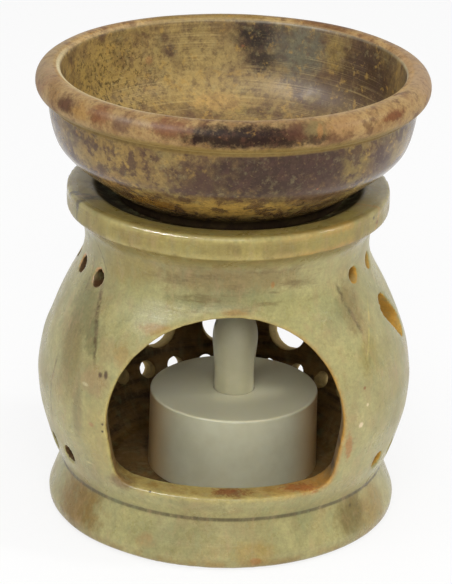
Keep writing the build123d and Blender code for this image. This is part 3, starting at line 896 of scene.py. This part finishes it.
rim_noise = noise(place, 6, 3)
collar = rise(times_plus(rim_noise, 3, height), 70.2, 72)
collar_tone = tint(cloud(tall_place, 3.4, 11, 0.42, 0.66), paint(152, 137, 78), paint(130, 112, 62))
stone = tint(times(collar, 0.85), stone, collar_tone)
stone = over(stone, (132, 114, 66), rise(height, 66.5, 69.5), rise(height, 71.6, 70.4), 0.7)
print("stand colours so far use", len(tree.nodes), "nodes")

# %% Stand veins
# Each vein has a bearing in degrees, a height, half its length, its width, its lean and how far it wanders.
STAND_VEINS = [
    ("left vein", -50.5, 51, 9, 1.1, -0.45, 1.8, (92, 74, 50), 0.85),
    ("left line, upper", -61, 64.6, 4.5, 0.5, -0.8, 1, (94, 82, 54), 0.65),
    ("left line, outer", -65.6, 58.5, 4.5, 0.5, -0.17, 1.5, (104, 82, 54), 0.65),
    ("right vein", 49.9, 55, 6.5, 0.9, -0.27, 2.6, (94, 78, 58), 0.8),
    ("right line", 56.7, 49.6, 6, 0.5, 0.71, 0.6, (196, 184, 122), 0.85),
    ("ochre on the collar", 65, 74, 4.5, 0.9, 0.46, 1, (170, 132, 60), 0.85),
    ("collar crack", -67, 72.5, 4.5, 0.8, 0.2, 1.2, (96, 86, 54), 0.9),
    ("dark line at the side", -66, 33, 9, 0.5, 0.1, 1.5, (96, 84, 56), 0.6),
    ("back vein", 150, 40, 26, 1.2, 0.3, 8, (104, 92, 60), 0.6),
]
for number, (what, at, middle, half, width, lean, wander, painted, weight) in enumerate(STAND_VEINS):
    shape = dict(Bearing=at, Height=middle, Half_Length=half, Width=width, Lean=lean, Wander=wander)
    line = mask_of(VEIN, what, Place=place, Seed=number * 2.3, **shape)
    broken = rise(noise(place, 1.3, number * 3.1, 6, 0.7), 0.34, 0.54)
    stone = over(stone, painted, line, broken, weight)
print(len(STAND_VEINS), "veins on the stand")

# %% Stand cuts, inside, wear, painted highlights and painted shade
right_side = rise(bearing, 0.1, 0.7)
below_collar = rise(height, 67, 64)
sideways = rise(calc("ABSOLUTE", facing), 0.72, 0.45)
cut = times(sideways, below_collar, rise(height, 3, 4), rise(radius, 23.5, 25))
arch_zone = times(rise(calc("ABSOLUTE", bearing), 0.88, 0.8), rise(height, 13, 15))
cut_tone = tint(cloud(place, 3, 13, 0.4, 0.62), paint(176, 156, 100), paint(150, 122, 70))
cut_tone = over(cut_tone, (196, 136, 62), right_side, 0.8)
# Painted light and shade: the holes on the left are painted dark red as their shade, and those on the right
# golden as lit walls.
hole_tone = tint(right_side, paint(70, 34, 18), paint(206, 160, 78))
behind = rise(calc("ABSOLUTE", bearing), 1.8, 2)
hole_tone = over(hole_tone, (206, 184, 140), behind)
stone = tint(times(cut, 0.9), stone, tint(arch_zone, hole_tone, cut_tone))

inner = times(rise(facing, -0.3, -0.65), rise(height, 72.5, 71))
floor_inside = times(rise(height, 12, 10), rise(radius, 31, 28), rise(height, 4, 6))
inside = calc("MAXIMUM", inner, floor_inside)
soot = tint(cloud(flat_place, 2.4, 15, 0.4, 0.66), paint(140, 110, 68), paint(78, 58, 35))
stone = tint(inside, stone, soot)

# Worn arch edges: ochre wear on the right, and a paler tone on the left that is a painted highlight.
edge_wear_and_highlight = times(edge, rise(noise(place, 2.5, 8, 5), 0.3, 0.5))
arch_edge = tint(right_side, paint(190, 176, 122), paint(190, 148, 82))
stone = tint(times(edge_wear_and_highlight, arch_zone, 0.75), stone, arch_edge)
rim_thin = without(times(rise(edge, 0.55, 0.95), below_collar), arch_zone)
rim_left = without(times(rim_thin, rise(height, 40, 50)), right_side)
rim_left = without(rim_left, cut)
stone = over(stone, (206, 150, 108), rim_left, 0.75)

# A pale line along the collar's ridge: partly rubbed wear and partly a painted highlight.
ridge = ring_line(radius, height, *COLLAR_EDGE, 0.9)
stone = over(stone, (196, 190, 150), ridge, rise(noise(place, 5, 19), 0.32, 0.55), 0.35)
# Painted shade: creases are darkened, broken up by noise.
crease_shade_breakup = rise(noise(place, 2.5, 21), 0.3, 0.6)
stone = over(stone, (84, 70, 42), crease, crease_shade_breakup, 0.5)
# Painted shade: a dark line along the groove above the foot.
groove = ring_line(radius, height, 36.5, 10.9, 0.6)
stone = over(stone, (62, 52, 28), groove, rise(noise(place, 1.6, 25, 6, 0.7), 0.26, 0.46), 0.65)
foot_edge = rise(height, 3, 1.2)
stone = over(stone, (146, 116, 64), foot_edge, rise(noise(place, 4, 33), 0.35, 0.6), 0.6)
stone = lay_patches(place, stone, STAND_MARKS)
# Painted shade: the seat under the bowl is painted near black, standing for the shade in the gap between bowl
# and collar.
seat = times(rise(height, 71, 72), rise(radius, 30.4, 28.8))
stone = over(stone, (42, 33, 22), seat, 0.88)
print("stand cuts and wear done,", len(tree.nodes), "nodes")

# %% Stand grain and gloss
grain = noise(place, 0.55, 1, 4, 0.7)
stone = tint(1, stone, rise(grain, 0.25, 0.75, 0.86, 1.12), "MULTIPLY")
mottle = noise(place, 1.5, 35, 5, 0.65)
stone = tint(1, stone, rise(mottle, 0.3, 0.7, 0.9, 1.08), "MULTIPLY")
blush = rise(noise(streak_place, 2, 27, 8, 0.7), 0.48, 0.7)
stone = over(stone, (182, 154, 124), blush, 0.4)
moss = rise(noise(streak_place, 2.2, 29, 8, 0.7), 0.48, 0.7)
stone = over(stone, (142, 150, 118), moss, 0.4)
pits = mask_of(SPECKS, Place=place, Spacing=4.5, Size=0.07, Share=0.14, Seed=5)
stone = over(stone, (60, 46, 28), pits, 0.7)
chips = mask_of(SPECKS, Place=place, Spacing=7, Size=0.05, Share=0.12, Seed=7)
stone = over(stone, (228, 220, 196), chips, 0.8)
stone = tint(1, stone, STAND_WARMTH, "MULTIPLY")

lines = mask_of(TURNING, Place=place, Spacing=0.7, Seed=3)
normal = bump(lines, 0.08)
normal = bump(grain, 0.04, Normal=normal)
normal = bump(times(pits, -1), 0.2, Normal=normal)
gloss = cloud(place, 6, 17, 0.35, 0.65)
roughness = rise(gloss, 0, 1, 0.26, 0.38)
dull = calc("MAXIMUM", calc("MAXIMUM", inside, cut), seat)
roughness = times_plus(dull, 0.45, roughness)
roughness = times_plus(ring_line(radius, height, *COLLAR_EDGE, 2.4), -0.16, roughness)
shine = rise(calc("MAXIMUM", seat, cut), 0, 0.8, 0.36, 0.05)
close(stone, roughness, normal, Specular_IOR_Level=shine)
print("stand material has", len(tree.nodes), "nodes")

# %% [markdown]
# ## The bowl's stone
# The bowl is the same kind of stone in a darker piece: khaki and olive with purple-brown clouds, rusty
# flecks and a mottled reddish lip. It is polished more than the stand. Pale lines on the lip's edges are
# painted highlights and a golden patch at the inside bottom a painted sheen; the creases and the underside
# are darkened as painted shade, and the inside is lightened as painted light.

# %% Bowl patches
BOWL_PATCHES = [
    ("khaki, left", (-24, -30, 90), (12, 9, 6), 1.8, (156, 130, 76), 0.65),
    ("dark patch, middle", (-6, -39, 89), (6, 6, 5), 2.6, (80, 58, 42), 0.75),
    ("dark cloud", (9, -38, 91), (14, 10, 6.5), 2.6, (58, 40, 34), 0.95),
    ("dark cloud, right", (19, -34, 90), (9, 9, 7), 2.6, (68, 48, 42), 0.93),
    ("brown-purple below it", (19, -32, 84.5), (9, 7, 3.4), 1.8, (92, 69, 58), 0.85),
    ("olive at the bottom", (0, -34, 80.8), (13, 7, 3.2), 2.4, (178, 147, 80), 0.88),
    ("khaki streaks", (26, -31, 91), (3.4, 4, 6), 2.2, (134, 116, 70), 0.85),
    ("purple-grey, right", (32, -25, 90), (3.4, 5, 6), 1.8, (94, 75, 66), 0.85),
    ("khaki, right edge", (36.5, -16, 89), (4, 5, 7), 1.6, (138, 120, 80), 0.7),
    ("golden, lower left", (-18, -28, 80), (8, 7, 2), 2, (150, 110, 46), 0.75),
    ("rusty, left", (-27, -27, 84), (6, 7, 2.6), 2.2, (126, 86, 56), 0.5),
    ("speckled wall", (-28, 20, 92), (11, 13, 9), 2, (156, 134, 78), 0.8),
    ("khaki inside", (-9, 34, 92), (14, 8, 9), 1.8, (166, 148, 102), 0.85),
    ("khaki inside, low", (-4, 33, 87), (14, 8, 4), 1.6, (162, 140, 88), 0.75),
    ("purple spot inside", (-13.6, 33.6, 95.6), (1.8, 2.5, 1.8), 1.6, (90, 74, 64), 0.85),
    ("purple spot above it", (-14.8, 33.4, 98.4), (1.1, 2, 1.1), 1.6, (94, 76, 62), 0.75),
    ("dark cloud, back", (6.5, 36, 98.5), (6, 4, 3.2), 2.2, (34, 25, 19), 0.96),
    ("dark cloud, lower", (7.5, 35.5, 93), (3.4, 4, 2.8), 2.4, (42, 32, 24), 0.93),
    ("grey-green, back", (16, 33, 96), (6.6, 6, 6.8), 1.8, (98, 101, 92), 0.85),
    ("khaki beside it", (23.8, 28.4, 97.5), (2.2, 4, 4), 2, (140, 122, 72), 0.8),
    ("dark right wall", (31.5, 18, 95), (8, 12, 7), 2.4, (62, 43, 29), 0.93),
    ("dark, low right", (24, 25, 88), (8, 7, 4), 2.4, (92, 72, 48), 0.7),
    # The golden bottom patch is a painted sheen.
    ("golden bottom", (-2, 31.3, 84.2), (6, 4, 1.6), 3.2, (178, 146, 92), 0.6),
    ("orange spot", (-18.4, 30.9, 93.9), (0.9, 1.5, 0.9), 1.6, (170, 124, 86), 0.5),
    ("brown at the side", (38, 10, 86), (7, 14, 6), 2.4, (92, 68, 50), 0.7),
    ("dark at the back", (-14, 40, 86), (12, 5, 6), 2.4, (86, 64, 48), 0.6),
]
LIP_PATCHES = [
    ("pink, left", (-40.4, -8, 101.5), (4, 6, 4), 2, (150, 114, 90), 0.65),
    ("pale left top", (-40, 6, 102), (5, 17, 4), 2, (160, 140, 108), 0.7),
    ("pale right top", (40, 2, 102), (5, 20, 4), 2, (168, 142, 114), 0.7),
    ("khaki back", (-12, 39, 102), (26, 6, 4), 2, (134, 114, 66), 0.8),
    ("brown back", (22, 33, 102), (9, 7, 4), 2.2, (108, 74, 46), 0.75),
    ("dark front", (0, -42.5, 100), (12, 5, 2.4), 2.2, (36, 22, 18), 0.97),
    ("dark front, right", (9, -42, 99.8), (6, 5, 2.4), 2.4, (44, 28, 22), 0.94),
    ("brown spot", (-35, -24, 100.4), (2.8, 3, 1.8), 1.8, (80, 46, 30), 0.88),
    ("golden", (-31.5, -28, 100.4), (2.2, 3, 2), 2.2, (162, 126, 74), 0.7),
    ("red-brown", (-27.4, -31.8, 101), (2.8, 3, 2), 2.4, (128, 82, 56), 0.75),
    ("grey-purple", (-23, -35.5, 100), (2.4, 2.5, 1.8), 2, (106, 78, 68), 0.75),
    ("red-brown, front", (-13, -40, 101), (4.5, 3, 2), 2.6, (120, 76, 54), 0.8),
    ("purple, right", (13.5, -40.3, 101), (3.5, 3, 2), 2, (88, 59, 48), 0.82),
    ("green spot", (16.8, -39, 101), (2.4, 2.5, 2.2), 1.8, (122, 110, 78), 0.75),
    ("dark under it", (17, -39.7, 99), (2.6, 2, 1.2), 2, (58, 43, 35), 0.82),
    ("orange streak", (17.7, -39, 100.7), (0.6, 1.5, 1.5), 2.4, (174, 124, 78), 0.5),
    ("red-brown, right", (23, -35.5, 101), (4, 4, 2), 2.8, (166, 134, 98), 0.6),
    ("dark red streak", (33.6, -27.2, 100.4), (3.2, 4, 1.1), 2, (108, 58, 36), 0.82),
]
print(len(BOWL_PATCHES) + len(LIP_PATCHES), "patches on the bowl")

# %% Bowl material
BOWL_WARMTH = (1, 0.935, 0.765, 1)

place, bearing, radius, height = start_stone(bowl_finish)
crease, facing = left_by_wear("crease"), left_by_wear("facing")

stone = tint(cloud(place, 9, 3, 0.42, 0.6), paint(146, 124, 80), paint(118, 96, 62))
greenish = cloud(place, 6, 6, 0.48, 0.64)
stone = over(stone, (134, 122, 76), greenish, 0.55)
purple = cloud(place, 4.6, 12, 0.51, 0.59)
stone = over(stone, (86, 62, 50), purple, 0.7)
stone = lay_patches(place, stone, BOWL_PATCHES, 3)
spots = cloud(place, 4, 20, 0.49, 0.57)
outer_wall = rise(facing, -0.1, 0.2)
stone = over(stone, (76, 53, 46), spots, times_plus(outer_wall, 0.5, 0.3))
dusk = rise(noise(place, 1.7, 61, 8, 0.72), 0.49, 0.62)
stone = over(stone, (84, 62, 52), dusk, 0.5)
mist = rise(noise(place, 1.9, 63, 8, 0.72), 0.52, 0.66)
stone = over(stone, (150, 142, 108), mist, 0.35)
gold = cloud(place, 2, 23, 0.55, 0.66)
front = dict(Centre=(13, -37, 90), Reach=(18, 11, 8), Ragged=1.6, Grain=3, Seed=9)
dark_cloud = mask_of(PATCH, Place=place, **front)
stone = over(stone, (172, 142, 78), without(gold, times(dark_cloud, 0.75)), 0.6)

off_roll = xyz(X=minus(radius, roll_centre[0] / MM), Y=minus(height, roll_centre[1] / MM))
lip = times(rise(vec("LENGTH", off_roll), 4.4, 3.9), rise(facing, -0.88, -0.72))
lip_tone = tint(cloud(place, 5, 31, 0.42, 0.6), paint(172, 146, 106), paint(150, 120, 84))
lip_purple = cloud(place, 3.2, 34, 0.53, 0.62)
lip_tone = over(lip_tone, (90, 58, 46), lip_purple, 0.6)
lip_tone = lay_patches(place, lip_tone, LIP_PATCHES, 2.2)
lip_dusk = rise(noise(place, 1.6, 65, 8, 0.72), 0.49, 0.62)
lip_tone = over(lip_tone, (106, 72, 56), lip_dusk, 0.38)
lip_ochre = cloud(place, 2, 37, 0.59, 0.68)
lip_tone = over(lip_tone, (170, 132, 70), lip_ochre, 0.5)
low_lip = rise(times_plus(noise(place, 3, 39), 1.2, height), 98.6, 97.6)
lip_tone = over(lip_tone, (136, 116, 64), low_lip, 0.75)
stone = tint(lip, stone, lip_tone)
print("bowl colours so far use", len(tree.nodes), "nodes")

# %% Bowl specks, painted light and shade, and gloss
left = dict(Centre=(-27, 20, 91), Reach=(13, 17, 11), Ragged=1.5, Grain=3, Seed=41)
left_wall = mask_of(PATCH, Place=place, **left)
pepper = rise(noise(place, 0.8, 43, 4, 0.7), 0.52, 0.6)
stone = over(stone, (54, 39, 24), pepper, times_plus(left_wall, 0.5, 0.22))
salt = rise(noise(place, 0.7, 47, 4, 0.7), 0.58, 0.68)
stone = over(stone, (192, 164, 108), salt, times_plus(left_wall, 0.35, 0.2))
flecks = mask_of(SPECKS, Place=place, Spacing=3, Size=0.16, Share=0.16, Seed=3)
stone = over(stone, (160, 108, 72), flecks, 0.45)
crumbs = mask_of(SPECKS, Place=place, Spacing=3, Size=0.1, Share=0.12, Seed=6)
stone = over(stone, (206, 186, 146), crumbs, 0.6)
rust_spot = mask_of(PATCH, Place=place, Centre=(14, -36, 86.5), Reach=(5, 5, 3), Ragged=1, Seed=44)
rust = mask_of(SPECKS, Place=place, Spacing=1.6, Size=0.24, Share=0.4, Seed=8)
stone = over(stone, (176, 112, 84), rust, rust_spot, 0.8)

# Painted highlights: pale lines along the lip's inner edge and, at the front, along its crest.
inner_edge_highlight = ring_line(radius, height, 37.75, 102, 0.75)
bearing_off = calc("ABSOLUTE", bearing)
rim_front = rise(bearing_off, 2, 1.4, 0.15, 0.85)
stone = over(stone, (198, 194, 172), inner_edge_highlight, rise(noise(place, 4, 51), 0.2, 0.45), rim_front)
crest_highlight = ring_line(radius, height, 38.4, 102.4, 0.8)
stone = over(stone, (190, 182, 156), crest_highlight, rise(bearing_off, 1.3, 0.8), 0.6)
# Painted highlight: a pale line along the lip's lower edge.
low_edge_highlight = ring_line(radius, height, 40.9, 96.1, 0.7)
stone = over(stone, (168, 148, 98), low_edge_highlight, 0.6)
# Painted shade: creases are darkened.
stone = over(stone, (38, 26, 19), crease, 0.8)
# Painted shade: the bowl's underside near the seat is painted near black, standing for the shade in the gap
# above the collar.
under = rise(times_plus(noise(place, 5, 49), 1.2, height), 77.2, 75.8)
stone = over(stone, (36, 27, 19), under, 0.88)

lines = mask_of(TURNING, Place=place, Spacing=0.45, Seed=5)
hollow = rise(facing, -0.05, -0.3)
stone = over(stone, (190, 172, 124), rise(lines, 0.5, 0.66), hollow, 0.35)
stone = over(stone, (92, 78, 48), rise(lines, 0.5, 0.36), hollow, 0.3)
grain = noise(place, 0.55, 53, 5, 0.7)
stone = tint(1, stone, rise(grain, 0.25, 0.75, 0.84, 1.12), "MULTIPLY")
stone = tint(1, stone, BOWL_WARMTH, "MULTIPLY")
# Painted light: the inside of the bowl is lightened, as if lit from above.
inside_light_shares = {name: times_plus(hollow, 0.24, 1) for name in ("Red", "Green", "Blue")}
painted_inside_light = add("CombineColor", inside_light_shares)
stone = tint(1, stone, painted_inside_light, "MULTIPLY")
normal = bump(lines, 0.05)
normal = bump(grain, 0.02, Normal=normal)
gloss = cloud(place, 5, 57, 0.35, 0.65)
roughness = times_plus(hollow, 0.3, rise(gloss, 0, 1, 0.14, 0.26))
roughness = times_plus(under, 0.5, roughness)
roughness = times_plus(lip, 0.26, roughness)
shine = rise(calc("MAXIMUM", lip, under), 0, 0.9, 0.28, 0.12)
close(stone, roughness, normal, Specular_IOR_Level=shine)
print("bowl material has", len(tree.nodes), "nodes")

# %% [markdown]
# ## The tealight
# The light inside is moulded in milky plastic: a smooth cup with rounded edges and a flame that glows when
# its diode is on. Milky plastic scatters light under its skin, so these two use subsurface scattering. A
# faint noise in the colour and the roughness keeps them from looking computed. The case's top is painted
# lighter as light on it, its sides take a painted brown reflection of the stone round them, and the
# flame's edges are painted lighter as light. The shapes are the measured ones.

# %% Small-part finishes
def grain_group():
    """Fine noise for moulded and pressed surfaces: a height and a mask for colour and roughness."""
    given, out = new_group(
        "fine_grain", "Shader", {"Height": "Float", "Mottle": "Float"}, Place="Vector", Size=0.3,
        Stretch=(1.0, 1.0, 1.0), Seed=0.0
    )
    pulled = vec("MULTIPLY", given["Place"], given["Stretch"])
    height = noise(pulled, given["Size"], given["Seed"], 3.0, 0.6)
    slow = noise(given["Place"], times(given["Size"], 14.0), given["Seed"], 3.0)
    return end_group(out, height, rise(slow, 0.3, 0.7))


GRAIN = grain_group()


def small_finish(name, colour, other, rough, grain=0.3, stretch=(1, 1, 1), depth=0.02, spread=0.08, rim=None,
                 top=None, **settings):
    """A finish for small parts: two close colours, a roughness and a grain of its own.

    A rim colour paints light where the surface turns from the eye; a top is a height and painted light above
    it.
    """
    material = bpy.data.materials.new(name)
    place = start(material)
    laid = {"Place": place, "Size": grain, "Stretch": stretch}
    group = add("Group", laid, node_tree=GRAIN).outputs
    tone = tint(group["Mottle"], paint(*colour), paint(*other))
    # Painted light: a rim colour where the surface turns from the eye, and a lighter top.
    if rim is not None:
        away = add("LayerWeight", {"Blend": 0.5}).outputs["Facing"]
        tone = over(tone, rim, rise(away, 0.25, 0.75))
    if top is not None:
        tone = over(tone, top[1], rise(sides_of(place)["Z"], top[0] - 0.5, top[0]))
    roughness = rise(group["Height"], 0.3, 0.7, rough - spread, rough + spread)
    close(tone, roughness, bump(group["Height"], depth), **settings)
    return material


def dress(node, finish):
    """Give a measured piece its finish."""
    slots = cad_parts[node].data.materials
    slots.clear()
    slots.append(finish)


milky = dict(Subsurface_Weight=0.35, Subsurface_Radius=(1, 0.8, 0.5), Subsurface_Scale=0.004)
case_top = max(corner[2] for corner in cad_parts["tealight_case"].bound_box) / MM
# Each finish has its parts, two colours, a roughness and what else sets it apart.
FINISHES = {
    # The case's rim colour is a painted brown reflection of the stone round it, and its top colour is painted
    # light on the top face. The flame's rim colour is painted light at its edges.
    "milky_case": (["tealight_case"], (206, 204, 176), (198, 195, 165), 0.38,
                   dict(rim=(216, 184, 132), top=(case_top, (246, 240, 202)), **milky)),
    "milky_flame": (["flame_tip"], (204, 198, 164), (196, 190, 156), 0.34,
                    dict(rim=(240, 234, 198), **milky)),
    "pale_base": (["base_cover", "battery_hatch"], (204, 200, 186), (192, 188, 172), 0.48,
                  dict(grain=0.25, depth=0.04)),
    "black_switch": (["switch_knob"], (38, 37, 36), (30, 29, 28), 0.5, dict(grain=0.2, depth=0.05)),
    "warm_epoxy": (["led_dome"], (236, 222, 178), (228, 210, 160), 0.12,
                   dict(grain=0.5, depth=0.005, spread=0.04, Transmission_Weight=0.6, IOR=1.52)),
    "tinned_wire": (["led_anode_lead", "led_cathode_lead"], (196, 194, 188), (176, 174, 168), 0.32,
                    dict(grain=0.2, stretch=(1, 1, 0.1), Metallic=1)),
    "spring_brass": (["positive_contact", "negative_contact", "switch_contact", "switch_bridge"],
                     (206, 174, 104), (184, 148, 82), 0.3,
                     dict(grain=0.25, stretch=(0.15, 2, 1), Metallic=1)),
    "stamped_steel": (["coin_cell_can", "coin_cell_cap"], (198, 198, 194), (180, 180, 176), 0.28,
                      dict(grain=0.2, stretch=(0.2, 2, 1), Metallic=1)),
    "seal": (["coin_cell_gasket"], (58, 58, 58), (46, 46, 46), 0.55, dict(grain=0.2)),
    "pressed_powder": (["coin_cell_cathode"], (44, 43, 42), (32, 31, 30), 0.85, dict(grain=0.15, depth=0.06)),
    "felt_disc": (["coin_cell_separator"], (226, 224, 214), (212, 208, 196), 0.9,
                  dict(stretch=(0.3, 2, 1), depth=0.06)),
    "soft_foil": (["coin_cell_lithium"], (190, 190, 188), (168, 168, 166), 0.42,
                  dict(grain=0.6, depth=0.04, Metallic=1)),
}
for name, (parts, colour, other, rough, more) in FINISHES.items():
    finish = small_finish(name, colour, other, rough, **more)
    for node in parts:
        dress(node, finish)
dress("burner_body", stand_finish)
dress("oil_bowl", bowl_finish)
print(len(FINISHES), "small finishes made")
